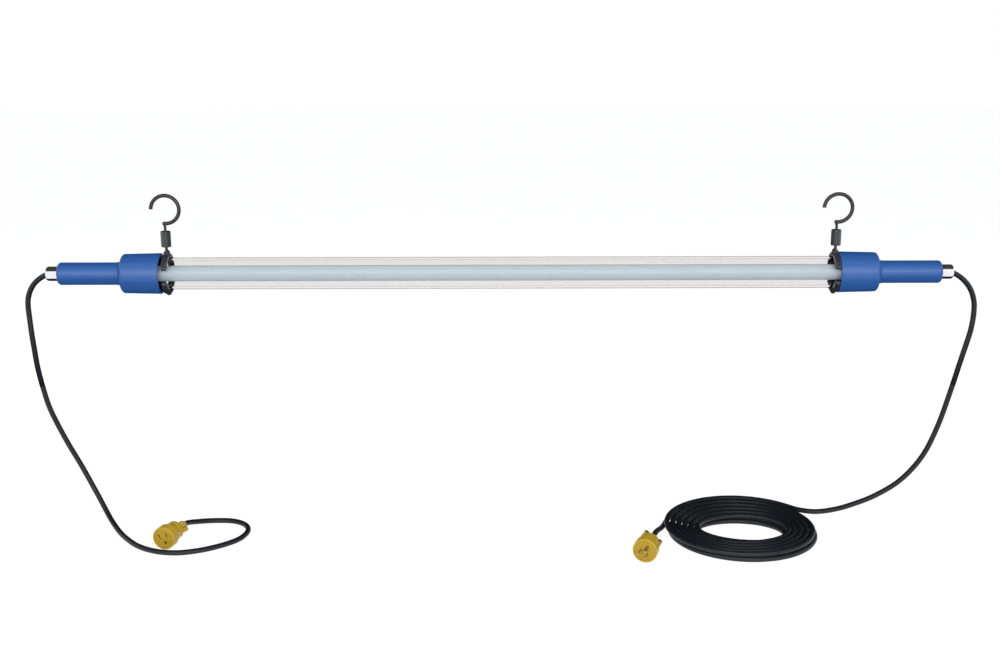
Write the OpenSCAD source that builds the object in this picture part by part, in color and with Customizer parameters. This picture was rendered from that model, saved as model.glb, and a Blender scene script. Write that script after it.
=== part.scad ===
// Portable LED tube work light: a clear guard tube with a T8 lamp inside, a moulded handle at each end,
// two swivel hooks, a supply cord with a plug and a short pass-through cord with a socket.
// Built about the lamp's centre, X along the lamp and Z up, then moved so that the origin is the seat
// in the crown of the left hook.

/* [Guard tube] */
// Outer diameter of the clear guard tube
tube_d = 50.8; // [44:0.2:60]
// Wall of the guard tube
tube_wall = 3.2; // [2:0.1:4]

/* [Lamp] */
// Length of the lamp between its end faces, without the pins
lamp_len = 1198; // [1190:1:1205]
// Diameter of the lamp's lens and heat sink
lamp_d = 25.4; // [24:0.1:26]
// Diameter of the lamp's end caps
lamp_cap_d = 26; // [25.8:0.1:26.4]
// Length of the lamp's end caps
lamp_cap_len = 18; // [12:1:30]
// Wall of the lens
lens_wall = 1; // [0.8:0.1:1.5]
// Wall of the heat sink
sink_wall = 1.4; // [1:0.1:2]
// Arc that the heat sink covers, in degrees
sink_arc = 120; // [90:5:150]
// Roll of the lamp, in degrees from light straight down towards light to the front
lamp_roll = 45; // [0:5:90]
// Diameter of the lamp's contact pins
lamp_pin_d = 2.35; // [2.2:0.05:2.5]
// Length of the lamp's contact pins
lamp_pin_len = 7.1; // [6:0.1:8]
// Distance between the two pins of one end
lamp_pin_pitch = 12.7; // [12:0.1:13]
// Number of LED chips
chip_count = 48; // [12:1:96]

/* [Handle caps] */
// Length of guard tube held inside a cap
cap_overlap = 57.5; // [40:0.5:60]
// Outer diameter of the collar at its mouth
mouth_d = 65.2; // [62:0.2:70]
// Outer diameter of the collar at its shoulder
collar_d = 62.8; // [60:0.2:66]
// Length of the shoulder between collar and grip
shoulder_len = 9; // [7:0.5:12]
// Diameter of the grip
grip_d = 36; // [35.4:0.2:40]
// Length of the grip
grip_len = 98.5; // [90:0.5:130]
// Radius of the rounding at the grip's end
grip_round = 4.5; // [2:0.5:6]
// Thickness of the grip's end wall
end_wall = 9; // [5:0.5:12]
// Diameter of the lampholder's bore in the cap
holder_bore_d = 31.8; // [31.6:0.1:32.4]
// Diameter of the wire chamber in the grip
chamber_d = 27; // [25:0.5:28]

/* [Mouth seals] */
// Length of the rubber seal between collar and tube
seal_len = 16; // [8:1:20]
// Seal's share of the depth between the tube and the outside of the collar's mouth
seal_share = 0.47; // [0.3:0.01:0.5]
// Depth of the seal's face behind the mouth
seal_inset = 2; // [1:0.5:4]

/* [Hanger bands] */
// Width of the band along the tube
band_w = 9; // [9:0.5:16]
// Radial thickness of the band
band_t = 6.7; // [6:0.1:9]
// Gap between the left band and the cap's mouth
band_gap_left = 4.9; // [0.4:0.1:8]
// Gap between the right band and the cap's mouth
band_gap_right = 0.4; // [0.4:0.1:8]
// Opening of the band towards the light side, in degrees
band_open = 52; // [30:2:90]
// Height of the pivot pin above the tube's surface
pivot_rise = 8.1; // [7.8:0.1:10]
// Diameter of the pivot pin
pivot_d = 3; // [2.5:0.1:3.4]

/* [Swivel hooks] */
// Wire diameter of the hook
hook_wire = 6; // [4:0.1:6.6]
// Outer diameter of the hook's ring
hook_ring_d = 50.5; // [44:0.5:60]
// Height of the hook's seat above the pivot pin
seat_rise = 88.5; // [84:0.5:100]
// Angle of the hook's tip from the horizontal, in degrees
hook_tip = 178; // [170:1:200]
// Angle where the ring ends and turns into the neck, in degrees
hook_end = -96; // [-105:1:-90]
// Width of the six-sided swivel barrel across its flats
barrel_af = 14.2; // [14:0.1:16]
// Height of the swivel barrel
barrel_h = 25; // [22:0.5:26]
// Height of the barrel's foot above the pivot pin
barrel_rise = 9.8; // [9.5:0.1:11]
// Diameter of the hook's stem in the barrel
stem_d = 4.2; // [3.6:0.1:4.6]

/* [Cord and glands] */
// Diameter of the cord's jacket
cord_d = 8.6; // [7:0.1:9]
// Width of the glands across their flats
gland_af = 20.4; // [19.6:0.1:22]
// Length of the gland's hexagon flange
gland_hex_len = 5; // [4:0.5:7]
// Length of the gland's dome nut
gland_nut_len = 14.6; // [14:0.1:16]
// Diameter of the gland's thread
gland_thread_d = 16; // [14:0.5:17]

/* [Plug and socket] */
// Outer diameter of the plug's front
plug_d = 39; // [36:0.5:42]
// Length of the plug behind its face
plug_len = 50; // [50:1:64]
// Outer diameter of the socket's front
socket_d = 37.5; // [36:0.5:42]
// Length of the socket behind its face
socket_len = 50; // [48:1:64]
// Angle of the plug from straight to the front, in degrees
plug_turn = 18; // [12:1:20]
// Angle of the socket from straight to the front, in degrees
socket_turn = 15; // [12:1:18]
// Roll of the plug about its axis, in degrees
plug_roll = -31; // [-180:1:180]
// Roll of the socket about its axis, in degrees
socket_roll = 19; // [-180:1:180]
// Distance between the two flat contacts
blade_pitch = 12.7; // [12.5:0.1:12.9]
// Distance from the line of the flat contacts to the ground contact
ground_offset = 11.9; // [11.7:0.1:12.1]
// Diameter of the ground pin
ground_d = 4.75; // [4.65:0.05:4.85]
// Length of the flat blades in front of the face
blade_len = 17.5; // [15:0.5:18.5]
// Length of the ground pin in front of the face
ground_len = 21; // [18:0.5:23]

/* [Hidden] */
$fn = 64;
overrun = 1;
fit = 0.1;
seat_gap = 0.3;

// Distances along the lamp from its centre, the same to both sides
tube_short = 4.2;
tube_len = lamp_len - tube_short;
tube_end = tube_len / 2;
mouth = tube_end - cap_overlap;
stop_face = tube_end + seat_gap;
shoulder = tube_end - fit;
shoulder_end = shoulder + shoulder_len;
grip_end = shoulder_end + grip_len;
lamp_end = lamp_len / 2;
holder_gap = 0.4;
holder_len = 18;
holder_face = lamp_end + holder_gap;
holder_back = holder_face + holder_len;
gland_tip = grip_end + gland_hex_len + gland_nut_len;
function band_at(side) = mouth - (side < 0 ? band_gap_left : band_gap_right) - band_w / 2;

// Heights above the lamp's axis
tube_r = tube_d / 2;
pivot_z = tube_r + pivot_rise;
seat_z = pivot_z + seat_rise;
ring_r = (hook_ring_d - hook_wire) / 2;
ring_z = seat_z + hook_wire / 2 - ring_r;
ring_shift = 1.2;
barrel_z = pivot_z + barrel_rise;
floor_z = -430;

// Details of the lamp
lens_r = lamp_d / 2;
lamp_wall_end = 2;
lens_len = lamp_len - 2 * (lamp_wall_end + fit);
web_t = 1.2;
web_y = lens_r * sin(90 - sink_arc / 2);
board_w = 16;
board_t = 1.2;
board_inset = 24;
chip_w = 3.5;
chip_t = 0.8;
chip_pitch = (lens_len - 2 * board_inset - 2 * chip_w) / (chip_count - 1);
driver_len = 110;
driver_w = 13;
driver_t = 1.2;
driver_part_h = 1.7;
driver_part_shares = [0.2, 0.5, 0.8];

// Details of the lampholders
holder_d = holder_bore_d - 2 * fit;
contact_d = 5;
contact_len = 9;
contact_wall_front = 2.6;
wire_d = 2.2;
wire_slot_w = 9;
wire_y = lamp_cap_d / 2 + wire_d / 2 + seat_gap;
wire_pitch = 2.6;
wire_slot_h = 5;
wire_slot_y = wire_y - wire_slot_h;
pin_root = 4;

// Details of the caps
mouth_depth = mouth_d / 2 - tube_r;
seal_t = seal_share * mouth_depth;
collar_wall = mouth_depth - seal_t;
lip_share = 0.32;
lip_round = lip_share * collar_wall;
collar_round = 5;
shoulder_deg = 55;
bead_len = 4;
bead_t = 0.4;
mouth_bore_r = tube_r + seal_t + fit / 2;
seal_lip_share = 0.24;
seal_lip = seal_lip_share * seal_t;

// Details of the bands
band_r = tube_r + fit;
band_out_r = band_r + band_t;
band_rim_w = 2.6;
band_rim_h = 1.1;
band_edge = 0.6;
end_bead_d = band_t + 4 * fit;
bead_inset = 1;
ear_t = 3;
ear_r = 4;
eye_r = 3.8;
eye_w = 4.8;
slot_w = eye_w + 2 * fit;
slot_play = 0.5;
slot_foot = pivot_z - eye_r - slot_play;
rivet_head_r = 2.4;
rivet_head_t = 0.9;
set_screw_d = 4;
set_head_r = 4;
set_head_t = 3.2;
nut_w = 7;
nut_t = 3.2;
nut_z = 2.2;

// Details of the swivels
barrel_bore_r = 5.6;
barrel_end_t = 4;
barrel_edge = 0.8;
stem_head_r = 4.2;
stem_head_t = 2.4;
eye_stem_d = 4.6;
eye_collar_r = 3.4;
eye_collar_t = 0.9;
neck_drop = 6.2;

// Details of the glands
gland_bore_r = cord_d / 2 + seat_gap;
gland_seat_r = 6.9;
gland_neck_r = 9;
gland_neck_len = 6;
gland_stub_len = 18;
lock_t = 4.2;
nose_flare = 1.9;
nose_round = 4.4;
grommet_short = 1.3;
grommet_taper = 1.7;
jacket_inner_len = 38;
core_r = 2.2;
wire_drop = 3.6;
crimp_d = 3.6;
crimp_len = 9;
crimp_share = 0.68;

// Details of the plug and the socket
rim_t = 2.6;
face_t = 4;
face_inset = 1.2;
front_len = 16;
groove_t = 1.2;
groove_w = 1.6;
waist_r = 15;
waist_len = 12;
clamp_len = 10;
clamp_w = 33;
clamp_h = 7;
clamp_gap = 1.6;
blade_w = 6.35;
blade_t = 1.5;
blade_root = 12;
ground_root_d = 4.2;
contact_shift = 4.2;
slot_h = 7.4;
slot_t = 2.2;
ground_play = 0.15;
ground_bore_r = ground_d / 2 + ground_play;
clip_len = 16;
clip_t = 0.7;
clamp_screw_d = 3;
clamp_head_r = 3;
clamp_head_t = 1.8;
clamp_screw_at = 12;
cord_end_len = 16;
rib_count = 18;
rib_r = 0.9;

// Straight step at each end of a cord, and how far it sags below the axis as it leaves each gland, in degrees
lead = 1;
left_sag = 23;
right_sag = 25;

// The cord sets off inside the flared nose of the gland's nut, so that it can hang down from there
cord_inset = 3;
cord_exit = gland_tip - cord_inset;
nose_len = cord_inset + cord_d / 2 * sin(right_sag) + fit;
grommet_len = gland_nut_len - nose_len - grommet_short;

// Route of the short cord, from the left gland to the back of the socket
left_route = [
    [-734.3, 0, -6.9], [-744.7, 0, -15.8], [-752.2, 0, -27.2], [-756.7, 0, -40.2], [-758, 0, -54],
    [-757.5, 0, -68], [-756.4, -1, -84], [-755.1, -1.5, -103], [-753.3, -1, -127], [-751.1, 0.5, -156],
    [-746.8, 5, -191], [-739, 10, -231], [-720.2, 16, -283], [-696.7, 17, -332], [-672, 9, -378],
    [-657, -1, -402], [-642, -17, -417.5], [-624, -42, -424.4], [-604, -70, -425.5],
    [-579.5, -98, -425.6], [-548.5, -118, -425.6], [-514, -125, -425.6], [-482, -117, -425.6],
    [-453.5, -100, -425.6], [-429, -76.5, -425.6], [-418, -53, -425.6], [-416.5, -27, -425.6],
    [-427.5, -4, -425.6], [-449, 10, -425.6], [-477, 11.5, -425.2], [-504.5, -3.5, -421], [-518.2, -28, -414]];

// Route of the long cord, from the right gland to the coil
right_route = [
    [736.7, 0, -8.8], [748.8, 0, -20.2], [757.3, 0, -34], [762.2, 0, -49.9], [763.2, 0, -64.1], [762.8, 0, -77],
    [760.9, -1, -91], [757.8, -1, -107], [747.1, -1, -150], [735.1, 3, -206], [720.7, 6, -262],
    [700.2, 9, -314], [668.6, 14, -357], [629.8, 20, -386.5], [592, 24, -404.5], [561, 21, -412],
    [532, 21, -415.6], [507, 31, -416.5]];

// The coil: loops in two layers, spiralling in above and out below
coil_loops = 11;
coil_at = [395.2, -36.5, floor_z + cord_d / 2];
coil_out = [124, 128];
coil_in = [69, 48.5];
coil_lean = [-1, -15.5];
coil_entry_deg = 45;
coil_exit_deg = 180 - atan(tan(plug_turn) * coil_out[1] / coil_out[0]);
coil_deg = coil_loops * 360 + coil_exit_deg - coil_entry_deg;
coil_half = coil_deg / 2;
layer_gap = 0.6;
coil_lift = cord_d + layer_gap;
climb_deg = 180;
ring_deg = 15;
coil_steps = round(coil_deg / ring_deg);
tail_steps = 5;

// Vectors and paths
function unit(v) = v / norm(v);
function tangent(p, i) = unit(p[min(i + 1, len(p) - 1)] - p[max(i - 1, 0)]);
function squared(n, t) = unit(n - (n * t) * t);
function normals(p, first) = [
    for (i = 0, n = squared(first, tangent(p, 0));
         i < len(p);
         i = i + 1, n = i < len(p) ? squared(n, tangent(p, i)) : n) n];
function arc(c, r, from, to, steps = 6) = [
    for (i = [0:steps]) c + r * [cos(from + (to - from) * i / steps), sin(from + (to - from) * i / steps)]];

// A smooth curve through points, each span in equal steps; the outermost two only lead it in and out
function through(a, b, c, d, t) =
    0.5 * (2 * b + (c - a) * t + (2 * a - 5 * b + 4 * c - d) * t * t + (3 * b - a - 3 * c + d) * t * t * t);
function smooth(p, steps) = concat(
    [for (i = [1:len(p) - 3], j = [0:steps - 1]) through(p[i - 1], p[i], p[i + 1], p[i + 2], j / steps)],
    [p[len(p) - 2]]);

// A closed tube of triangles along a path
module swept(p, d, sides, first = [0, 0, 1]) {
    n = normals(p, first);
    points = [
        for (i = [0:len(p) - 1], j = [0:sides - 1])
            p[i] + d / 2 * (cos(360 * j / sides) * n[i]
                + sin(360 * j / sides) * cross(tangent(p, i), n[i]))];
    walls = [
        for (i = [0:len(p) - 2], j = [0:sides - 1], half = [0, 1])
            let (a = i * sides + j, b = i * sides + (j + 1) % sides)
                half == 0 ? [a, a + sides, b + sides] : [a, b + sides, b]];
    last = (len(p) - 1) * sides;
    starts = [for (j = [1:sides - 2]) [0, j, j + 1]];
    ends = [for (j = [1:sides - 2]) [last, last + j + 1, last + j]];
    polyhedron(points, concat(walls, starts, ends), convexity = 10);
}

// Moves a part from the lamp's centre to the part's own origin
module placed() translate([band_at(-1) - ring_shift, 0, -seat_z]) children();

// Draws a part of the right end as it is, or mirrored to the left end
module sided(side) {
    if (side < 0) mirror([1, 0, 0]) children();
    else children();
}

// Turns a solid about Z so that its axis runs along X
module turned_x() rotate([0, 90, 0]) children();

// Extrudes an outline drawn in Y and Z along X, about a middle
module along_x(len, from) translate([from, 0, 0]) rotate([90, 0, 90]) linear_extrude(len) children();

// A straight round rod between two points
module rod(a, b, d) {
    run = b - a;
    translate(a)
        rotate([0, acos(run[2] / norm(run)), atan2(run[1], run[0])])
            cylinder(h = norm(run), d = d);
}

// Guard tube and lamp
module guard_tube() {
    color([0.93, 0.94, 0.96, 0.35])
        along_x(tube_len, -tube_end)
            difference() {
                circle(d = tube_d);
                circle(d = tube_d - 2 * tube_wall);
            }
}

// The part of the lamp's ring between two angles
module lamp_arc(outer, inner, from, to) {
    far = 2 * outer;
    steps = 8;
    intersection() {
        difference() {
            circle(r = outer);
            circle(r = inner);
        }
        polygon(concat([[0, 0]], arc([0, 0], far, from, to, steps)));
    }
}

module lamp_rolled() rotate([-lamp_roll, 0, 0]) children();

module lamp_lens() {
    color([0.94, 0.95, 0.98])
        lamp_rolled()
            along_x(lens_len, -lens_len / 2)
                lamp_arc(lens_r, lens_r - lens_wall, 90 + sink_arc / 2, 450 - sink_arc / 2);
}

module lamp_heat_sink() {
    color("silver")
        lamp_rolled()
            along_x(lens_len, -lens_len / 2) {
                lamp_arc(lens_r, lens_r - sink_wall, 90 - sink_arc / 2, 90 + sink_arc / 2);
                intersection() {
                    translate([-lens_r, web_y])
                        square([2 * lens_r, web_t]);
                    circle(r = lens_r - sink_wall / 2);
                }
            }
}

module lamp_board() {
    color("white")
        lamp_rolled()
            along_x(lens_len - 2 * board_inset, board_inset - lens_len / 2)
                translate([-board_w / 2, web_y - board_t])
                    square([board_w, board_t]);
}

module lamp_chips() {
    color([0.95, 0.85, 0.4])
        lamp_rolled()
            for (i = [0:chip_count - 1])
                translate([(i - (chip_count - 1) / 2) * chip_pitch - chip_w / 2, -chip_w / 2,
                           web_y - board_t - chip_t])
                    cube([chip_w, chip_w, chip_t]);
}

module lamp_driver() {
    foot = web_y + web_t;
    color("seagreen")
        lamp_rolled()
            translate([lens_len / 2 - board_inset - driver_len, 0, foot]) {
                translate([0, -driver_w / 2, 0])
                    cube([driver_len, driver_w, driver_t]);
                for (share = driver_part_shares)
                    translate([share * driver_len, -driver_w / 4, driver_t])
                        cube([driver_len / 8, driver_w / 2, driver_part_h]);
            }
}

module lamp_cap(side) {
    pocket = lamp_cap_len - lamp_wall_end;
    color("silver")
        sided(side)
            lamp_rolled()
                difference() {
                    along_x(lamp_cap_len, lamp_end - lamp_cap_len)
                        circle(d = lamp_cap_d);
                    along_x(pocket + overrun, lamp_end - lamp_cap_len - overrun)
                        circle(r = lens_r + fit / 2);
                    for (at = [-1, 1])
                        along_x(lamp_wall_end + 2 * overrun, lamp_end - lamp_wall_end - overrun)
                            translate([at * lamp_pin_pitch / 2, 0])
                                circle(d = lamp_pin_d + fit);
                }
}

module lamp_pins() {
    color("gold")
        for (side = [-1, 1], at = [-1, 1])
            sided(side)
                lamp_rolled()
                    along_x(lamp_pin_len + pin_root, lamp_end - pin_root)
                        translate([at * lamp_pin_pitch / 2, 0])
                            circle(d = lamp_pin_d);
}

// Lampholders and their contacts
module lampholder(side) {
    color("white")
        sided(side)
            difference() {
                along_x(holder_len, holder_face)
                    difference() {
                        circle(d = holder_d);
                        translate([wire_slot_y, -wire_slot_w / 2])
                            square([holder_d, wire_slot_w]);
                    }
                lamp_rolled()
                    for (at = [-1, 1]) {
                        along_x(holder_len + 2 * overrun, holder_face - overrun)
                            translate([at * lamp_pin_pitch / 2, 0])
                                circle(d = lamp_pin_d + 4 * fit);
                        along_x(holder_len, holder_face + contact_wall_front)
                            translate([at * lamp_pin_pitch / 2, 0])
                                circle(d = contact_d + fit);
                    }
            }
}

module holder_contacts() {
    color("goldenrod")
        for (side = [-1, 1], at = [-1, 1])
            sided(side)
                lamp_rolled()
                    along_x(contact_len, holder_face + contact_wall_front)
                        translate([at * lamp_pin_pitch / 2, 0])
                            difference() {
                                circle(d = contact_d);
                                circle(d = lamp_pin_d + fit);
                            }
}

// Handle caps and mouth seals, turned from outlines of radius and distance along the lamp
module end_cap(side) {
    collar_r = collar_d / 2;
    mouth_r = mouth_d / 2;
    grip_r = grip_d / 2;
    bead_end = shoulder_end + bead_len;
    outer = concat(
        arc([mouth_r - lip_round, mouth + lip_round], lip_round, -90, 0),
        arc([collar_r - collar_round, shoulder], collar_round, 0, shoulder_deg, 8),
        [[grip_r + bead_t, shoulder_end], [grip_r + bead_t, bead_end], [grip_r, bead_end + bead_t]],
        arc([grip_r - grip_round, grip_end - grip_round], grip_round, 0, 90));
    inner = [
        [gland_thread_d / 2 + fit, grip_end], [gland_thread_d / 2 + fit, grip_end - end_wall],
        [chamber_d / 2, grip_end - end_wall], [chamber_d / 2, holder_back],
        [holder_bore_d / 2, holder_back], [holder_bore_d / 2, stop_face],
        [tube_r + fit, stop_face], [tube_r + fit, mouth + seal_inset + seal_len],
        [mouth_bore_r, mouth + seal_inset + seal_len], [mouth_bore_r, mouth]];
    color([0.2, 0.4, 0.75])
        sided(side)
            turned_x()
                rotate_extrude($fn = 96)
                    polygon(concat(outer, inner));
}

module mouth_seal(side) {
    face = mouth + seal_inset;
    r_out = tube_r + seal_t;
    r_in = tube_r + fit / 2;
    color([0.1, 0.1, 0.1])
        sided(side)
            turned_x()
                rotate_extrude()
                    polygon([[r_in + seal_lip, face], [r_out - seal_lip, face], [r_out, face + seal_lip],
                             [r_out, face + seal_len], [r_in, face + seal_len], [r_in, face + seal_lip]]);
}

// Hanger bands, their set screws and their pivot pins
module hanger_band(side) {
    along = band_at(side);
    half_open = band_open / 2;
    w = band_w / 2;
    floor_r = band_out_r - band_rim_h;
    ear_out = slot_w / 2 + ear_t;
    color([0.12, 0.12, 0.13])
        sided(side)
            difference() {
                union() {
                    translate([along, 0, 0])
                        rotate([0, 90, 0])
                            rotate(half_open - 90)
                                rotate_extrude(angle = 360 - band_open)
                                    polygon([
                                        [band_r, -w], [band_out_r - band_edge, -w], [band_out_r, band_edge - w],
                                        [band_out_r, band_rim_w - w], [floor_r, band_rim_w + band_rim_h - w],
                                        [floor_r, w - band_rim_w - band_rim_h], [band_out_r, w - band_rim_w],
                                        [band_out_r, w - band_edge], [band_out_r - band_edge, w], [band_r, w]]);
                    along_x(band_w - 2 * bead_inset, along - w + bead_inset)
                        for (a = [-1, 1])
                            rotate(180 - a * half_open)
                                translate([band_r + fit + end_bead_d / 2, 0])
                                    circle(d = end_bead_d);
                    translate([along, ear_out, 0])
                        rotate([90, 0, 0])
                            linear_extrude(2 * ear_out) {
                                translate([0, pivot_z])
                                    circle(r = ear_r);
                                translate([-ear_r, pivot_z - ear_r - band_t / 3])
                                    square([2 * ear_r, ear_r + band_t / 3]);
                            }
                }
                translate([along - band_w, -slot_w / 2, slot_foot])
                    cube([2 * band_w, slot_w, pivot_z]);
                rod([along, -ear_out - overrun, pivot_z], [along, ear_out + overrun, pivot_z],
                    pivot_d + fit);
                rod([along, 0, -band_out_r - overrun], [along, 0, -band_r + overrun], set_screw_d + fit);
                translate([along - nut_w / 2 - fit, -nut_w / 2 - fit, -band_r - nut_z - nut_t - fit])
                    cube([band_w, nut_w + 2 * fit, nut_t + 2 * fit]);
            }
}

module set_screw(side) {
    along = band_at(side);
    head_z = band_out_r + fit;
    color("dimgray")
        sided(side)
            translate([along, 0, 0]) {
                translate([0, 0, -head_z - fit])
                    cylinder(h = head_z - band_r + fit, d = set_screw_d);
                intersection() {
                    translate([0, 0, -head_z - set_head_t])
                        cylinder(h = set_head_t, r = set_head_r);
                    translate([0, 0, -head_z + set_head_t / 2])
                        sphere(r = set_head_r * 1.2);
                }
            }
}

module band_nut(side) {
    color("silver")
        sided(side)
            translate([band_at(side), 0, -band_r - nut_z - nut_t])
                difference() {
                    translate([-nut_w / 2, -nut_w / 2, 0])
                        cube([nut_w, nut_w, nut_t]);
                    translate([0, 0, -overrun])
                        cylinder(h = nut_t + 2 * overrun, d = set_screw_d + fit);
                }
}

module pivot_pin(side) {
    half = slot_w / 2 + ear_t + fit / 2;
    color("silver")
        sided(side)
            translate([band_at(side), 0, pivot_z])
                rotate([90, 0, 0]) {
                    translate([0, 0, -half - rivet_head_t])
                        cylinder(h = 2 * (half + rivet_head_t), d = pivot_d);
                    for (foot = [-half - rivet_head_t, half])
                        translate([0, 0, foot])
                            cylinder(h = rivet_head_t, r = rivet_head_r);
                }
}

// Eye stem, swivel barrel and hook, drawn about the hook's upright axis
module at_hook(side) translate([side * band_at(side), 0, 0]) children();

module eye_stem(side) {
    head_foot = barrel_z + barrel_end_t + fit / 2;
    color([0.2, 0.2, 0.21])
        at_hook(side)
            difference() {
                union() {
                    rod([0, -eye_w / 2, pivot_z], [0, eye_w / 2, pivot_z], 2 * eye_r);
                    translate([0, 0, pivot_z])
                        cylinder(h = head_foot - pivot_z + stem_head_t, d = eye_stem_d);
                    translate([0, 0, barrel_z - eye_collar_t - fit / 2])
                        cylinder(h = eye_collar_t, r = eye_collar_r);
                    translate([0, 0, head_foot])
                        cylinder(h = stem_head_t, r = stem_head_r);
                }
                rod([0, -eye_w, pivot_z], [0, eye_w, pivot_z], pivot_d + 2 * fit);
            }
}

module swivel_barrel(side) {
    corner_r = barrel_af / 2 / cos(30);
    edge_r = corner_r - barrel_edge;
    color([0.25, 0.26, 0.26])
        at_hook(side)
            translate([0, 0, barrel_z])
                difference() {
                    intersection() {
                        hexagon(barrel_af, barrel_h);
                        rotate_extrude()
                            polygon([[0, 0], [edge_r, 0], [corner_r + fit, barrel_edge],
                                     [corner_r + fit, barrel_h - barrel_edge], [edge_r, barrel_h], [0, barrel_h]]);
                    }
                    translate([0, 0, barrel_end_t])
                        cylinder(h = barrel_h - 2 * barrel_end_t, r = barrel_bore_r);
                    translate([0, 0, -overrun])
                        cylinder(h = barrel_h / 2, d = eye_stem_d + fit);
                    translate([0, 0, barrel_h / 2])
                        cylinder(h = barrel_h, d = stem_d + 2 * fit);
                }
}

module hook(side) {
    ring = [ring_shift, 0, ring_z];
    kink = ring + ring_r * [cos(hook_end), 0, sin(hook_end)];
    neck = [0, 0, kink[2] - neck_drop];
    head_top = barrel_z + barrel_h - barrel_end_t - fit;
    color([0.16, 0.16, 0.17])
        at_hook(side) {
            translate(ring)
                rotate([90, 0, 0])
                    rotate([0, 0, hook_end])
                        rotate_extrude(angle = hook_tip - hook_end)
                            translate([ring_r, 0])
                                circle(d = hook_wire);
            translate(kink)
                sphere(d = hook_wire + 2 * fit);
            rod(kink, neck, stem_d + fit);
            translate(neck)
                sphere(d = stem_d + 4 * fit);
            rod([0, 0, head_top - stem_head_t], neck, stem_d);
            translate([0, 0, head_top - stem_head_t])
                cylinder(h = stem_head_t, r = stem_head_r);
        }
}

// Glands, the cord's ends inside them and the inner wires
module hexagon(af, h) cylinder(h = h, r = af / 2 / cos(30), $fn = 6);

module gland_body(side) {
    color([0.8, 0.8, 0.82])
        sided(side)
            turned_x()
                difference() {
                    union() {
                        translate([0, 0, grip_end])
                            hexagon(gland_af, gland_hex_len);
                        translate([0, 0, grip_end + gland_hex_len - gland_stub_len])
                            cylinder(h = gland_stub_len, d = gland_thread_d);
                        translate([0, 0, grip_end])
                            cylinder(h = gland_hex_len + gland_neck_len, r = gland_neck_r);
                    }
                    translate([0, 0, grip_end - gland_stub_len])
                        cylinder(h = 2 * gland_stub_len, r = gland_bore_r);
                    translate([0, 0, grip_end + gland_hex_len - fit])
                        cylinder(h = gland_neck_len + overrun, r = gland_seat_r);
                }
}

module gland_nut(side) {
    foot = grip_end + gland_hex_len + fit;
    tip = gland_tip;
    corner_r = gland_af / 2 / cos(30);
    neck_top = grip_end + gland_hex_len + gland_neck_len + seat_gap;
    color([0.85, 0.85, 0.87])
        sided(side)
            turned_x()
                difference() {
                    intersection() {
                        translate([0, 0, foot])
                            hexagon(gland_af, tip - foot);
                        rotate_extrude()
                            polygon(concat(
                                [[0, foot], [corner_r, foot]],
                                arc([corner_r - nose_round, tip - nose_round], nose_round, 0, 90),
                                [[0, tip]]));
                    }
                    rotate_extrude()
                        polygon([[0, foot - overrun], [gland_neck_r + fit, foot - overrun],
                                 [gland_neck_r + fit, neck_top], [gland_seat_r, neck_top],
                                 [gland_bore_r, tip - nose_len], [gland_bore_r + nose_flare, tip],
                                 [gland_bore_r + nose_flare, tip + overrun], [0, tip + overrun]]);
                }
}

module gland_grommet(side) {
    foot = grip_end + gland_hex_len;
    color([0.1, 0.1, 0.1])
        sided(side)
            turned_x()
                rotate_extrude()
                    polygon([[cord_d / 2 + fit, foot], [gland_seat_r - fit, foot],
                             [gland_seat_r - fit, foot + gland_neck_len],
                             [gland_seat_r - grommet_taper, foot + grommet_len], [cord_d / 2 + fit, foot + grommet_len]]);
}

module gland_locknut(side) {
    color([0.8, 0.8, 0.82])
        sided(side)
            turned_x()
                translate([0, 0, grip_end - end_wall - lock_t])
                    difference() {
                        hexagon(gland_af, lock_t);
                        translate([0, 0, -overrun])
                            cylinder(h = lock_t + 2 * overrun, r = gland_thread_d / 2 + fit / 2);
                    }
}

module jacket_ends() {
    color([0.12, 0.12, 0.12])
        for (side = [-1, 1])
            sided(side)
                rod([gland_tip - jacket_inner_len, 0, 0], [gland_tip - nose_len, 0, 0], cord_d);
}

// One wire of the cord: out of the jacket's end, through the lampholder's slot and along behind the lamp
function wire_lane(place) = [wire_y, place * wire_pitch];
function wire_low(place) = [holder_back + wire_d, wire_y - wire_drop, place * wire_pitch];
function wire_near(place) =
    let (angle = 180 - 120 * place)
    [gland_tip - jacket_inner_len - 2 * wire_d, core_r * cos(angle), core_r * sin(angle)];
function wire_half(place) = [
    [holder_face, wire_y, place * wire_pitch], wire_low(place), wire_near(place),
    wire_near(place) + [2 * wire_d, 0, 0]];
function mirrored(p) = [for (i = [len(p) - 1:-1:0]) [-p[i][0], p[i][1], p[i][2]]];

module inner_wire(place) swept(concat(mirrored(wire_half(place)), wire_half(place)), wire_d, 10, [0, 1, 0]);

// A crimp sleeve on a wire, and the lead from it to the back of a lampholder contact
module holder_lead(place, at) {
    back = holder_face + contact_wall_front + contact_len + fit;
    pin = at * lamp_pin_pitch / 2 * [cos(lamp_roll), -sin(lamp_roll)];
    low = wire_low(place);
    reach = wire_near(place) - low;
    along = unit(reach);
    from = low + crimp_share * reach;
    to = from + crimp_len * along;
    side = unit([0, pin[0], pin[1]] - [0, from[1], from[2]]);
    end = (from + to) / 2 + (wire_d + fit) * side;
    difference() {
        rod(from, to, crimp_d);
        rod(from - overrun * along, to + overrun * along, wire_d + 2 * fit);
    }
    swept([[back, pin[0], pin[1]], [back + 3 * wire_d, pin[0], pin[1]],
           [from[0] - crimp_len, (pin[0] + end[1]) / 2, (pin[1] + end[2]) / 2], end],
          wire_d, 10, [0, 1, 0]);
}

module holder_leads() {
    color("goldenrod") {
        holder_lead(1, -1);
        mirror([1, 0, 0])
            holder_lead(-1, 1);
    }
}

module wire_black() color([0.1, 0.1, 0.1]) inner_wire(1);

module wire_white() color([0.95, 0.95, 0.95]) inner_wire(-1);

module wire_green() color([0.1, 0.5, 0.25]) inner_wire(0);

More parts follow.
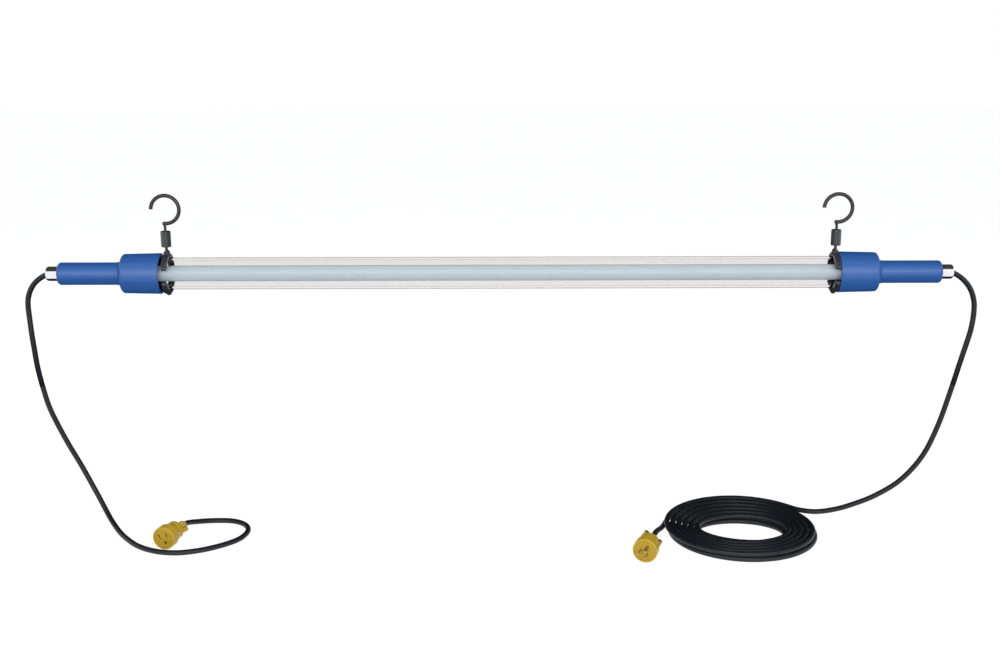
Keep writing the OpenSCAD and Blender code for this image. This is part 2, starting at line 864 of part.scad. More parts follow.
// Cords
function lift_share(t) =
    let (s = min(1, max(0, (t - coil_half + climb_deg / 2) / climb_deg))) s * s * (3 - 2 * s);
function coil_point(t) =
    let (s = 1 - abs(t - coil_half) / coil_half,
         reach = coil_out + s * (coil_in - coil_out),
         a = coil_entry_deg + t)
    coil_at + [s * coil_lean[0] + reach[0] * cos(a), s * coil_lean[1] + reach[1] * sin(a),
               coil_lift * (1 - lift_share(t))];
coil_start = coil_point(0);
coil_heading = unit([-coil_out[0] * sin(coil_entry_deg), coil_out[1] * cos(coil_entry_deg), 0]);
coil_exit = coil_point(coil_deg);

// The plug lies on the floor at the end of the straight tail of the coil
function facing(turn) = [-sin(turn), -cos(turn), 0];
plug_out = facing(plug_turn);
socket_out = facing(socket_turn);
tail_len = 120.5;
plug_back = [coil_exit[0] + tail_len * plug_out[0], coil_exit[1] + tail_len * plug_out[1],
             floor_z + plug_d / 2];
plug_at = plug_back + plug_len * plug_out;
socket_at = [-538.1, -101.5, floor_z + socket_d / 2];
socket_back = socket_at - socket_len * socket_out;

function tail_point(s) =
    let (rise = min(1, s * (1 + cord_d / tail_len)))
    coil_exit + [tail_len * s * plug_out[0], tail_len * s * plug_out[1],
                 (plug_back[2] - coil_exit[2]) * pow(rise, 3) * (10 - 15 * rise + 6 * rise * rise)];
coil_path = concat(
    [coil_start - cord_d * coil_heading],
    [for (i = [0:coil_steps]) coil_point(coil_deg * i / coil_steps)],
    [for (i = [1:tail_steps - 1]) tail_point(i / tail_steps)],
    [plug_back - cord_d * plug_out, plug_back]);

// Least gap between the coil's loops, measured between rings more than half a loop apart
half_loop = 180 / ring_deg;
coil_gap = min([
    for (i = [0:len(coil_path) - 1])
        for (j = [i + half_loop:1:len(coil_path) - 1])
            norm(coil_path[i] - coil_path[j])]) - cord_d;
function run(p) = [for (i = [1:len(p) - 1]) norm(p[i] - p[i - 1])] * [for (i = [1:len(p) - 1]) 1];

coil_foot = coil_start - cord_d * coil_heading;
left_exit = [-cord_exit, 0, 0];
right_exit = [cord_exit, 0, 0];
left_down = [-cos(left_sag), 0, -sin(left_sag)];
right_down = [cos(right_sag), 0, -sin(right_sag)];
left_path = concat(
    [left_exit],
    smooth(concat([left_route[0] - 3 * cord_d * left_down, left_exit + lead * left_down], left_route,
                  [socket_back - lead * socket_out, socket_back + 3 * cord_d * socket_out]), 2),
    [socket_back]);
right_path = concat(
    [right_exit],
    smooth(concat([right_route[0] - 3 * cord_d * right_down, right_exit + lead * right_down], right_route,
                  [coil_foot - lead * coil_heading, coil_foot + 3 * cord_d * coil_heading]), 3),
    [coil_foot]);

module cord_left() color([0.12, 0.12, 0.13]) swept(left_path, cord_d, 8, [0, 1, 0]);

module cord_right() color([0.12, 0.12, 0.13]) swept(right_path, cord_d, 8, [0, 1, 0]);

module cord_coil() color([0.12, 0.12, 0.13]) swept(coil_path, cord_d, 6);

// Plug and socket, drawn with the face at zero, looking along Z, and the body behind it
module faced(at, turn, roll) {
    translate(at)
        rotate([0, 0, -turn])
            rotate([90, 0, 0])
                rotate([0, 0, roll])
                    children();
}

module device_body(d, len) {
    r = d / 2;
    clamp_top = -len + clamp_len;
    taper = -front_len - groove_w;
    color([0.85, 0.68, 0.15]) {
        difference() {
            rotate_extrude()
                polygon(concat(
                    [[0, clamp_top], [waist_r - lip_round, clamp_top]],
                    arc([waist_r - lip_round, clamp_top + lip_round], lip_round, -90, 0),
                    [[waist_r, clamp_top + waist_len], [r - groove_t, taper - groove_w], [r - groove_t, taper],
                     [r, taper + groove_w], [r, -lip_round]],
                    arc([r - lip_round, -lip_round], lip_round, 0, 90),
                    [[r - rim_t, 0], [r - rim_t, -face_inset - face_t], [waist_r - rim_t, -front_len],
                     [waist_r - rim_t, clamp_top + rim_t], [0, clamp_top + rim_t]]));
            for (i = [0:rib_count - 1])
                rotate(360 * i / rib_count)
                    translate([waist_r + rib_r / 2, 0, clamp_top - overrun])
                        cylinder(h = waist_len - overrun, r = rib_r);
            translate([0, 0, clamp_top - overrun])
                cylinder(h = 2 * rim_t, d = cord_d + 2 * fit);
        }
        difference() {
            translate([-clamp_w / 2, -clamp_gap / 2 - clamp_h, -len])
                cube([clamp_w, clamp_h, clamp_len]);
            translate([0, 0, -len - overrun])
                cylinder(h = clamp_len + 2 * overrun, d = cord_d + 2 * fit);
            for (at = [-1, 1])
                translate([at * clamp_screw_at, overrun, -len + clamp_len / 2])
                    rotate([90, 0, 0])
                        cylinder(h = clamp_h, d = clamp_screw_d + fit);
        }
    }
}

module device_clamp(len) {
    color([0.85, 0.68, 0.15])
        difference() {
            translate([-clamp_w / 2, clamp_gap / 2, -len])
                cube([clamp_w, clamp_h, clamp_len - fit]);
            translate([0, 0, -len - overrun])
                cylinder(h = clamp_len + 2 * overrun, d = cord_d + 2 * fit);
            for (at = [-1, 1])
                translate([at * clamp_screw_at, clamp_h + clamp_gap, -len + clamp_len / 2])
                    rotate([90, 0, 0])
                        cylinder(h = 2 * clamp_h, d = clamp_screw_d + fit);
        }
}

module device_screws(len) {
    top = clamp_gap / 2 + clamp_h;
    color("silver")
        for (at = [-1, 1])
            translate([at * clamp_screw_at, top, -len + clamp_len / 2])
                rotate([90, 0, 0]) {
                    cylinder(h = top + clamp_h / 2, d = clamp_screw_d);
                    translate([0, 0, -clamp_head_t])
                        cylinder(h = clamp_head_t - fit / 2, r = clamp_head_r);
                    translate([0, 0, -clamp_head_t / 2])
                        cylinder(h = clamp_head_t / 2, d = clamp_screw_d);
                }
}

module device_cord_end(len) {
    color([0.12, 0.12, 0.13])
        translate([0, 0, -len])
            cylinder(h = cord_end_len, d = cord_d);
}

module plug_body() faced(plug_at, plug_turn, plug_roll) device_body(plug_d, plug_len);

module plug_clamp() faced(plug_at, plug_turn, plug_roll) device_clamp(plug_len);

module plug_clamp_screws() faced(plug_at, plug_turn, plug_roll) device_screws(plug_len);

module plug_cord_end() faced(plug_at, plug_turn, plug_roll) device_cord_end(plug_len);

module plug_face() {
    color([0.82, 0.66, 0.18])
        faced(plug_at, plug_turn, plug_roll)
            translate([0, 0, -face_inset - face_t])
                difference() {
                    cylinder(h = face_t, r = plug_d / 2 - rim_t - fit);
                    for (at = [-1, 1])
                        translate([at * blade_pitch / 2 - blade_t / 2 - fit, -contact_shift - blade_w / 2 - fit,
                                   -overrun])
                            cube([blade_t + 2 * fit, blade_w + 2 * fit, face_t + 2 * overrun]);
                    translate([0, ground_offset - contact_shift, -overrun])
                        cylinder(h = face_t + 2 * overrun, d = ground_root_d + fit);
                }
}

module plug_blades() {
    color("gold")
        faced(plug_at, plug_turn, plug_roll)
            for (at = [-1, 1])
                translate([at * blade_pitch / 2, -contact_shift, -blade_root])
                    rotate([0, -90, 0])
                        linear_extrude(blade_t, center = true)
                            polygon([[0, -blade_w / 2], [blade_root + blade_len - blade_t, -blade_w / 2],
                                     [blade_root + blade_len, -blade_w / 4], [blade_root + blade_len, blade_w / 4],
                                     [blade_root + blade_len - blade_t, blade_w / 2], [0, blade_w / 2]]);
}

module plug_ground_pin() {
    color("gold")
        faced(plug_at, plug_turn, plug_roll)
            translate([0, ground_offset - contact_shift, 0]) {
                translate([0, 0, -blade_root])
                    cylinder(h = blade_root, d = ground_root_d);
                translate([0, 0, -face_inset])
                    cylinder(h = face_inset + ground_len - ground_d / 2, d = ground_d);
                translate([0, 0, ground_len - ground_d / 2])
                    sphere(d = ground_d);
            }
}

module socket_body() faced(socket_at, socket_turn, socket_roll) device_body(socket_d, socket_len);

module socket_clamp() faced(socket_at, socket_turn, socket_roll) device_clamp(socket_len);

module socket_clamp_screws() faced(socket_at, socket_turn, socket_roll) device_screws(socket_len);

module socket_cord_end() faced(socket_at, socket_turn, socket_roll) device_cord_end(socket_len);

module socket_face() {
    color([0.82, 0.66, 0.18])
        faced(socket_at, socket_turn, socket_roll)
            translate([0, 0, -face_inset - face_t])
                difference() {
                    cylinder(h = face_t, r = socket_d / 2 - rim_t - fit);
                    for (at = [-1, 1])
                        translate([at * blade_pitch / 2 - slot_t / 2, contact_shift - slot_h / 2, -overrun])
                            cube([slot_t, slot_h, face_t + 2 * overrun]);
                    translate([0, contact_shift - ground_offset, -overrun])
                        cylinder(h = face_t + 2 * overrun, r = ground_bore_r);
                }
}

module socket_contacts() {
    top = -face_inset - face_t - fit;
    color("goldenrod")
        faced(socket_at, socket_turn, socket_roll) {
            for (at = [-1, 1], leaf = [-1, 1])
                translate([at * blade_pitch / 2 + leaf * (slot_t + clip_t) / 2 - clip_t / 2,
                           contact_shift - blade_w / 2, top - clip_len])
                    cube([clip_t, blade_w, clip_len]);
            translate([0, contact_shift - ground_offset, top - clip_len])
                difference() {
                    cylinder(h = clip_len, r = ground_bore_r + clip_t);
                    translate([0, 0, -overrun])
                        cylinder(h = clip_len + 2 * overrun, r = ground_bore_r);
                }
        }
}

echo(coil_gap = coil_gap, coil_run = run(coil_path), left_run = run(left_path), right_run = run(right_path));
echo(plug_at = plug_at, socket_at = socket_at, seat = [ring_shift - band_at(-1), seat_z],
     bands = [-band_at(-1), band_at(1)]);

placed() guard_tube();
placed() lamp_lens();
placed() lamp_heat_sink();
placed() lamp_board();
placed() lamp_chips();
placed() lamp_driver();
placed() lamp_cap(-1);  // lamp_cap_left
placed() lamp_cap(1);  // lamp_cap_right
placed() lamp_pins();
placed() lampholder(-1);  // lampholder_left
placed() lampholder(1);  // lampholder_right
placed() holder_contacts();
placed() end_cap(-1);  // end_cap_left
placed() end_cap(1);  // end_cap_right
placed() mouth_seal(-1);  // mouth_seal_left
placed() mouth_seal(1);  // mouth_seal_right
placed() hanger_band(-1);  // hanger_band_left
placed() hanger_band(1);  // hanger_band_right
placed() set_screw(-1);  // set_screw_left
placed() set_screw(1);  // set_screw_right
placed() band_nut(-1);  // band_nut_left
placed() band_nut(1);  // band_nut_right
placed() pivot_pin(-1);  // pivot_pin_left
placed() pivot_pin(1);  // pivot_pin_right
placed() eye_stem(-1);  // eye_stem_left
placed() eye_stem(1);  // eye_stem_right
placed() swivel_barrel(-1);  // swivel_barrel_left
placed() swivel_barrel(1);  // swivel_barrel_right
placed() hook(-1);  // hook_left
placed() hook(1);  // hook_right
placed() gland_body(-1);  // gland_body_left
placed() gland_body(1);  // gland_body_right
placed() gland_nut(-1);  // gland_nut_left
placed() gland_nut(1);  // gland_nut_right
placed() gland_grommet(-1);  // gland_grommet_left
placed() gland_grommet(1);  // gland_grommet_right
placed() gland_locknut(-1);  // gland_locknut_left
placed() gland_locknut(1);  // gland_locknut_right
placed() jacket_ends();
placed() wire_black();
placed() wire_white();
placed() wire_green();
placed() holder_leads();
placed() cord_left();
placed() cord_right();
placed() cord_coil();
placed() plug_body();
placed() plug_face();
placed() plug_blades();
placed() plug_ground_pin();
placed() plug_clamp();
placed() plug_clamp_screws();
placed() plug_cord_end();
placed() socket_body();
placed() socket_face();
placed() socket_contacts();
placed() socket_clamp();
placed() socket_clamp_screws();
placed() socket_cord_end();
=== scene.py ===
"""A portable tube work light, dressed for the photograph's view.

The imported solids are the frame. The two cords are drawn here as surfaces worked out with numpy, and every
part gets a finish made of shader nodes."""

import math

import bpy
import numpy as np
from bpy.props import FloatProperty, FloatVectorProperty, PointerProperty
from bpy.types import Operator, Panel, PropertyGroup
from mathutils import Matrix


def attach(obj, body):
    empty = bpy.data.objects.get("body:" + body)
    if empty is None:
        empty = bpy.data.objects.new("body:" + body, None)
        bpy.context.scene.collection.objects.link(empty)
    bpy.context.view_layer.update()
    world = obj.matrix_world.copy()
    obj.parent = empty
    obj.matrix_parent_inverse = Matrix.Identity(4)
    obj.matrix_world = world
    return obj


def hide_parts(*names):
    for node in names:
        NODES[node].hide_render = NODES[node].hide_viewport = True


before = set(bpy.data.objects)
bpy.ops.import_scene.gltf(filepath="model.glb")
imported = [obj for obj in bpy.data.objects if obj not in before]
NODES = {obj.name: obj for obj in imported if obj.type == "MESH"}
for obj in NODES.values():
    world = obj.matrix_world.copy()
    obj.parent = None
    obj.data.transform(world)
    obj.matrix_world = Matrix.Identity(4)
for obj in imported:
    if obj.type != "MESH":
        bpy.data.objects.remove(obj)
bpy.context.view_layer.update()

bl_info = {
    "name": "Tube work light",
    "version": (1, 0, 0),
    "blender": (4, 5, 0),
    "location": "3D View > Sidebar > Work light",
    "description": "Cords, finishes, light and camera of a portable tube work light",
    "category": "Object",
}

MM = 0.001
SIDES = ("left", "right")


def outwards(turn):
    """The level direction in which a device's face points: to the front, turned by an angle to the left."""
    return np.array([-math.sin(turn), -math.cos(turn), 0.0])


# The lamp's centre in the row frame, in millimetres. From here to the coil, values and routes are those of
# the solids, in millimetres about that centre.
LAMP_AT = np.array([528.8, 0.0, -122.0])
FLOOR_Z = -430.0

# Cords: diameter, distance out at which they leave the glands, and how steeply. Each join has a straight
# lead, and a guide point further on that only gives the curve its direction there.
CORD_D = 8.6
CORD_EXIT = 720.9
LEFT_SAG = math.radians(23)
RIGHT_SAG = math.radians(25)
LEAD = 1.0
GUIDE = 3 * CORD_D

# Plug and socket: their turn and diameter, the length of the cord's tail from the coil to the plug, and the
# length of the socket and the middle of its face
PLUG_TURN = math.radians(18)
PLUG_OUT = outwards(PLUG_TURN)
PLUG_D = 39.0
TAIL_LEN = 120.5
SOCKET_TURN = math.radians(15)
SOCKET_OUT = outwards(SOCKET_TURN)
SOCKET_D = 37.5
SOCKET_LEN = 50.0
SOCKET_AT = np.array([-538.1, -101.5, FLOOR_Z + SOCKET_D / 2])

LEFT_ROUTE = [
    (-734.3, 0, -6.9), (-744.7, 0, -15.8), (-752.2, 0, -27.2), (-756.7, 0, -40.2), (-758, 0, -54),
    (-757.5, 0, -68), (-756.4, -1, -84), (-755.1, -1.5, -103), (-753.3, -1, -127), (-751.1, 0.5, -156),
    (-746.8, 5, -191), (-739, 10, -231), (-720.2, 16, -283), (-696.7, 17, -332), (-672, 9, -378),
    (-657, -1, -402), (-642, -17, -417.5), (-624, -42, -424.4), (-604, -70, -425.5),
    (-579.5, -98, -425.6), (-548.5, -118, -425.6), (-514, -125, -425.6), (-482, -117, -425.6),
    (-453.5, -100, -425.6), (-429, -76.5, -425.6), (-418, -53, -425.6), (-416.5, -27, -425.6),
    (-427.5, -4, -425.6), (-449, 10, -425.6), (-477, 11.5, -425.2), (-504.5, -3.5, -421),
    (-518.2, -28, -414)]
RIGHT_ROUTE = [
    (736.7, 0, -8.8), (748.8, 0, -20.2), (757.3, 0, -34), (762.2, 0, -49.9), (763.2, 0, -64.1),
    (762.8, 0, -77), (760.9, -1, -91), (757.8, -1, -107), (747.1, -1, -150), (735.1, 3, -206),
    (720.7, 6, -262), (700.2, 9, -314), (668.6, 14, -357), (629.8, 20, -386.5), (592, 24, -404.5),
    (561, 21, -412), (532, 21, -415.6), (507, 31, -416.5)]

# Coil: loops, middle, half widths of the outermost and of the innermost loop, how far the innermost one is
# off the middle, and the gap between the layers. The cord enters and leaves at angles in degrees, and comes
# down from the upper layer over half a loop.
COIL_LOOPS = 11
COIL_AT = np.array([395.2, -36.5, FLOOR_Z + CORD_D / 2])
COIL_OUT = np.array([124.0, 128.0])
COIL_IN = np.array([69.0, 48.5])
COIL_LEAN = np.array([-1.0, -15.5])
COIL_GAP = 0.6
COIL_LIFT = CORD_D + COIL_GAP
COIL_ENTRY = 45.0
COIL_EXIT = 180 - math.degrees(math.atan(math.tan(PLUG_TURN) * COIL_OUT[1] / COIL_OUT[0]))
COIL_DEG = COIL_LOOPS * 360 + COIL_EXIT - COIL_ENTRY
CLIMB_DEG = 180.0

# How finely the cords are drawn: steps of a span, degrees of the coil's steps, points of the tail, sides of
# a ring, the angle from which an edge is sharp, and a direction in which no cord starts
SPAN_STEPS = 8
COIL_STEP = 5
TAIL_POINTS = 24
RING_SIDES = 20
SHARP_DEG = 40
ASIDE = (0.31, 0.87, 0.38)

# The stage, in metres, degrees and watts. Lights have a place, an aim, a size and a power. Dark panels have
# their reach across and along from the lamp's middle, the height of their top and a thickness. The floor
# reaches as far both ways and lies a little under the cords.
CAMERA_AT = (0.5292, -2.1213, 0.2963)
CAMERA_DOWN = 13.69
CAMERA_ROLL = -0.1415
CAMERA_LENS = 48.66
CAMERA_SENSOR = 36
LIGHTS = (
    ("front_light", (0.53, -2.9, 0.75), (0.53, 0, -0.25), (3.4, 1.5), 54),
    ("top_light", (0.53, -0.3, 2.4), (0.53, 0, -0.2), (3.0, 1.2), 16))
PANELS = (
    ("top_panel", (-1.6, 1.6), (-0.35, 2.4), 0.9, 0.01),
    ("back_panel", (-2.6, 2.6), (2.41, 2.42), 0.9, 1.42),
    ("low_panel", (-1.0, 1.0), (-0.30, 0.9), -0.30, 0.01))
PANEL_GREY = 0.01
FLOOR_REACH = (-9, 9)
FLOOR_THICK = 0.02
FLOOR_GAP = 0.05 * MM
FLOOR_TOP = (FLOOR_Z + LAMP_AT[2]) * MM - FLOOR_GAP

# The floor's own white, the grey on which its shade shows and the grey that lights the object, and the
# sky's colour and level
FLOOR_WHITE = 0.9
FLOOR_SHADE = 0.28
FLOOR_BOUNCE = 0.8
SKY = (0.95, 0.97, 1.0)
SKY_LEVEL = 0.3

# Colours of the finishes that a user would leave alone
COLOURS = {
    "clear_plastic": (0.885, 0.872, 0.862),
    # Painted shade: the darker brown the clear tube takes where it is seen edge on, drawn as dark edge lines
    "painted_edge_shade": (0.38, 0.36, 0.32),
    "light_through": (0.93, 0.93, 0.92),
    "lamp_metal": (0.45, 0.47, 0.50),
    "board": (0.8, 0.8, 0.78),
    "chips": (0.85, 0.7, 0.2),
    "driver": (0.03, 0.2, 0.08),
    "holder_plastic": (0.72, 0.72, 0.7),
    "contact_metal": (0.50, 0.37, 0.17),
    "wire_black": (0.012, 0.012, 0.012),
    "wire_white": (0.75, 0.75, 0.72),
    "wire_green": (0.02, 0.22, 0.07),
    "black_band": (0.036, 0.038, 0.055),
    "black_steel": (0.032, 0.032, 0.033),
    "grey_barrel": (0.042, 0.049, 0.051),
    "dark_screw": (0.03, 0.03, 0.03),
    "steel": (0.42, 0.42, 0.43),
    "gland_metal": (0.82, 0.82, 0.84),
}


# Surfaces

def placed(points):
    """Points about the lamp's centre, in millimetres, as points of the row frame in metres."""
    return (points + LAMP_AT) * MM


def smooth(points):
    """A curve through points, each span in equal steps: between b and c it is half of 2b, plus c less a
    times t, plus 2a less 5b plus 4c less d times t squared, plus 3b less a less 3c plus d times t cubed.
    The first point and the last only give it its direction at the ends."""
    p = np.asarray(points, float)
    a, b, c, d = (p[i:len(p) - 3 + i, None, :] for i in range(4))
    t = (np.arange(SPAN_STEPS) / SPAN_STEPS)[None, :, None]
    square = 2 * a - 5 * b + 4 * c - d
    cube = 3 * b - a - 3 * c + d
    spans = 0.5 * (2 * b + (c - a) * t + square * t ** 2 + cube * t ** 3)
    return np.concatenate([spans.reshape(-1, 3), p[-2:-1]])


def square_to(path):
    """Two directions square to a path at each of its points, which turn no more than the path does. The
    first is carried on from point to point, less its share along the path. The second is the cross product
    of the path's direction and the first."""
    tangent = np.gradient(path, axis=0)
    tangent /= np.linalg.norm(tangent, axis=1)[:, None]
    first = np.empty_like(path)
    carried = np.cross(tangent[0], ASIDE)
    for i, along in enumerate(tangent):
        carried = carried - (carried @ along) * along
        carried /= np.linalg.norm(carried)
        first[i] = carried
    return first, np.cross(tangent, first)


def tube(path, radius):
    """A round tube on a path: ring i, side j is the path's point i plus the radius times the cosine of j's
    angle along the first square direction and its sine along the second."""
    first, second = square_to(path)
    angle = (np.arange(RING_SIDES) / RING_SIDES * math.tau)[None, :, None]
    return path[:, None] + radius * (np.cos(angle) * first[:, None] + np.sin(angle) * second[:, None])


def piece(name, grid):
    """A mesh on a grid of points in metres whose rows are rings: quads from ring to ring that face outwards,
    and one face over the first ring and over the last."""
    rows, sides = grid.shape[:2]
    i, j = np.meshgrid(np.arange(rows - 1), np.arange(sides), indexing="ij")
    beside = (j + 1) % sides
    corners = [(i + 1) * sides + j, (i + 1) * sides + beside, i * sides + beside, i * sides + j]
    faces = np.stack(corners, axis=2).reshape(-1, 4).tolist()
    last = (rows - 1) * sides
    faces += [list(range(sides)), list(range(last, last + sides))[::-1]]
    mesh = bpy.data.meshes.new(name)
    mesh.from_pydata(grid.reshape(-1, 3).tolist(), [], faces)
    mesh.polygons.foreach_set("use_smooth", np.ones(len(faces), bool))
    mesh.set_sharp_from_angle(angle=math.radians(SHARP_DEG))
    mesh.update()
    made = bpy.data.objects.new(name, mesh)
    bpy.context.scene.collection.objects.link(made)
    return made


# Shaders

NOISE_ROUGHNESS = 0.55


def tone(colour, share=1.0):
    """An RGBA colour, darker or lighter by a share."""
    return (*[min(1.0, c * share) for c in colour[:3]], 1.0)


def grey(level):
    """A grey of a level as an RGBA colour."""
    return (level, level, level, 1.0)


class Value:
    """A number socket of one shader. Its operators add Math nodes."""

    def __init__(self, shader, socket):
        self.shader, self.socket = shader, socket

    def __add__(self, other):
        return self.shader.math("ADD", self, other)

    def __mul__(self, other):
        return self.shader.math("MULTIPLY", self, other)

    def __pow__(self, other):
        return self.shader.math("POWER", self, other)

    def __rpow__(self, other):
        return self.shader.math("POWER", other, self)

    __radd__ = __add__
    __rmul__ = __mul__


class Shader:
    """The nodes of a new material or world. Every node comes from node()."""

    def __init__(self, name, kind="Material"):
        blocks = bpy.data.worlds if kind == "World" else bpy.data.materials
        self.made = blocks.new(name)
        self.made.use_nodes = True
        self.tree = self.made.node_tree
        self.tree.nodes.clear()
        self.end = self.node("ShaderNodeOutput" + kind)

    def node(self, kind, settings=None, sockets=None):
        """A new node of a type, with its settings, and then the values or links of its sockets."""
        made = self.tree.nodes.new(kind)
        for key, value in (settings or {}).items():
            if key == "stops":
                for stop, (at, level) in zip(made.color_ramp.elements, value):
                    stop.position = at
                    stop.color = grey(level)
            else:
                setattr(made, key, value)
        for key, value in (sockets or {}).items():
            if isinstance(value, (Value, bpy.types.NodeSocket)):
                self.tree.links.new(getattr(value, "socket", value), made.inputs[key])
            else:
                made.inputs[key].default_value = value
        return made

    def math(self, operation, *terms):
        """A Math node's result. Its terms are values or numbers."""
        sockets = dict(enumerate(terms))
        return Value(self, self.node("ShaderNodeMath", {"operation": operation}, sockets).outputs[0])

    def rays(self, *kinds):
        """1 for rays of these kinds and 0 for all others."""
        path = self.node("ShaderNodeLightPath").outputs
        found, *others = [Value(self, path["Is " + kind + " Ray"]) for kind in kinds]
        for other in others:
            found = self.math("MAXIMUM", found, other)
        return found

    def noise(self, scale, detail=3, stretch=(1, 1, 1)):
        """Cloudy noise from 0 to 1 on object coordinates, with so many clouds to the metre."""
        coordinates = self.node("ShaderNodeTexCoord").outputs["Object"]
        where = self.node("ShaderNodeMapping", None, {"Vector": coordinates, "Scale": stretch}).outputs[0]
        sockets = {"Vector": where, "Scale": scale, "Detail": detail, "Roughness": NOISE_ROUGHNESS}
        return Value(self, self.node("ShaderNodeTexNoise", None, sockets).outputs[0])

    def about(self, middle, spread, scale, detail=3):
        """Cloudy noise that goes up to a spread below and above a middle."""
        return self.noise(scale, detail) * (2 * spread) + (middle - spread)

    def ramp(self, value, low, high):
        """0 up to a low value, 1 from a high one, and even between them."""
        made = self.node("ShaderNodeValToRGB", {"stops": ((low, 0.0), (high, 1.0))}, {0: value})
        return Value(self, made.outputs[0])

    def mix(self, share, low, high):
        """One colour at 0 and another at 1."""
        return self.node("ShaderNodeMix", {"data_type": "RGBA"}, {0: share, 6: low, 7: high}).outputs[2]

    def clouded(self, colour, spread, scale, detail=3):
        """A colour in slow clouds, darker and lighter by a spread."""
        return self.mix(self.noise(scale, detail), tone(colour, 1 - spread), tone(colour, 1 + spread))

    def bump(self, height, distance):
        """A normal that follows a height, up to a distance in metres."""
        return self.node("ShaderNodeBump", None, {"Height": height, "Distance": distance}).outputs[0]

    def surface(self, kind, **sockets):
        """A surface's socket. Names are those of the node's own sockets, with underscores for spaces."""
        named = {key.replace("_", " "): value for key, value in sockets.items()}
        return self.node("ShaderNode" + kind, None, named).outputs[0]

    def blend(self, share, low, high):
        """One surface at 0 and another at 1."""
        return self.node("ShaderNodeMixShader", None, {0: share, 1: low, 2: high}).outputs[0]

    def close(self, surface):
        """The finished material or world, with its closing surface."""
        self.tree.links.new(surface, self.end.inputs[0])
        return self.made

    def finish(self, **sockets):
        """The finished material, with a closing surface for plastic, rubber and metal."""
        return self.close(self.surface("BsdfPrincipled", **sockets))


# Finishes

def moulded(name, colour, rough, grain=1400, depth=0.00004, cloud=0.1, gloss=0.5):
    """Moulded plastic: slow clouds of tone, a fine grain, and a gloss that wanders a little."""
    s = Shader(name)
    return s.finish(
        Base_Color=s.clouded(colour, cloud, scale=18, detail=4),
        Roughness=s.about(rough, 0.08, scale=60),
        Specular_IOR_Level=gloss,
        Normal=s.bump(s.noise(grain, detail=2), depth))


def rubber(name, colour, rough):
    """Rubber: near black, dusty in places, with a dull fine grain."""
    s = Shader(name)
    dust = s.ramp(s.noise(scale=70, detail=5), low=0.45, high=0.8)
    return s.finish(
        Base_Color=s.mix(dust * 0.5, tone(colour), tone(colour, share=1.7)),
        Roughness=s.about(rough, 0.1, scale=120),
        Specular_IOR_Level=0.4,
        Normal=s.bump(s.noise(scale=1800, detail=2), distance=0.00005))


def coated(name, rough=0.36):
    """Coated steel: a satin coat with fine pits, and small dull rubs."""
    s = Shader(name)
    colour = COLOURS[name]
    rubs = s.ramp(s.noise(scale=240, detail=5), low=0.58, high=0.72)
    return s.finish(
        Base_Color=s.mix(rubs * 0.5, tone(colour), tone(colour, share=2.6)),
        Roughness=rubs * 0.2 + s.about(rough, 0.05, scale=90, detail=2),
        Metallic=0.25,
        Normal=s.bump(s.noise(scale=2200), distance=0.00005))


def machined(name, rough, lines=(4000, 30, 30), depth=0.00002):
    """Turned or drawn metal: fine lines that run round or along, and a slight tarnish."""
    s = Shader(name)
    colour = COLOURS[name]
    streak = s.noise(scale=1, stretch=lines)
    tarnish = s.noise(scale=90, detail=4)
    return s.finish(
        Base_Color=s.mix(tarnish, tone(colour, share=0.86), tone(colour, share=1.04)),
        Metallic=1.0,
        Roughness=streak * 0.12 + (tarnish * 0.1 + (rough - 0.1)),
        Normal=s.bump(streak, depth))


def frosted(name, colour):
    """Frosted plastic: nearly even in tone, dull, and lit a little below its surface."""
    s = Shader(name)
    return s.finish(
        Base_Color=s.clouded(colour, 0.03, scale=9),
        Roughness=s.about(0.55, 0.05, scale=300, detail=2),
        Specular_IOR_Level=0.3,
        Subsurface_Weight=0.15,
        Subsurface_Radius=(0.01, 0.01, 0.012),
        Normal=s.bump(s.noise(scale=2600, detail=2), distance=0.00001))


def clear(name):
    """Clear plastic that lets light through to what is inside, with painted shade where it is edge on."""
    s = Shader(name)
    edge = Value(s, s.node("ShaderNodeLayerWeight", None, {"Blend": 0.5}).outputs["Facing"])
    # Painted shade: darker where the wall is seen edge on, to draw dark lines along the tube's edges
    painted_edge_mask = s.ramp(edge ** 2, low=0.34, high=0.62) * s.about(0.96, 0.04, scale=25)
    plastic = s.surface(
        "BsdfPrincipled",
        Base_Color=s.mix(painted_edge_mask, tone(COLOURS["clear_plastic"]), tone(COLOURS["painted_edge_shade"])),
        Roughness=s.about(0.004, 0.002, scale=40),
        IOR=1.16,
        Transmission_Weight=1.0)
    through = s.surface("BsdfTransparent", Color=tone(COLOURS["light_through"]))
    return s.close(s.blend(s.rays("Shadow", "Diffuse"), plastic, through))


# Settings that a user would change

class WorkLightSettings(PropertyGroup):
    """The work light's size of cord, its colours and its light"""
    cord_diameter: FloatProperty(
        name="Cord diameter", description="Diameter of both cords", default=CORD_D * MM, unit="LENGTH",
        min=0.006, max=CORD_D * MM)
    light_level: FloatProperty(
        name="Light level", description="Strength of the studio light", default=1.0, min=0.1, max=4,
        subtype="FACTOR")
    blue: FloatVectorProperty(
        name="Handles", description="Colour of the handles", subtype="COLOR", size=3,
        default=(0.022, 0.122, 0.435))
    yellow: FloatVectorProperty(
        name="Plug and socket", description="Colour of the plug and the socket", subtype="COLOR", size=3,
        default=(0.69, 0.455, 0.027))
    black: FloatVectorProperty(
        name="Rubber", description="Colour of the cords and seals", subtype="COLOR", size=3,
        default=(0.0064, 0.0100, 0.0148))
    lens: FloatVectorProperty(
        name="Lens", description="Colour of the frosted lens", subtype="COLOR", size=3,
        default=(0.73, 0.865, 0.965))


def settings():
    """The settings of this scene."""
    return bpy.context.scene.work_light


def dress(material, *nodes):
    """Gives CAD nodes a finish."""
    for name in nodes:
        slots = NODES[name].material_slots
        if not slots:
            raise RuntimeError("no material slot on " + name)
        for slot in slots:
            slot.material = material


def both(*names):
    """Names of left and right nodes."""
    return [n + "_" + side for n in names for side in SIDES]


# Stage

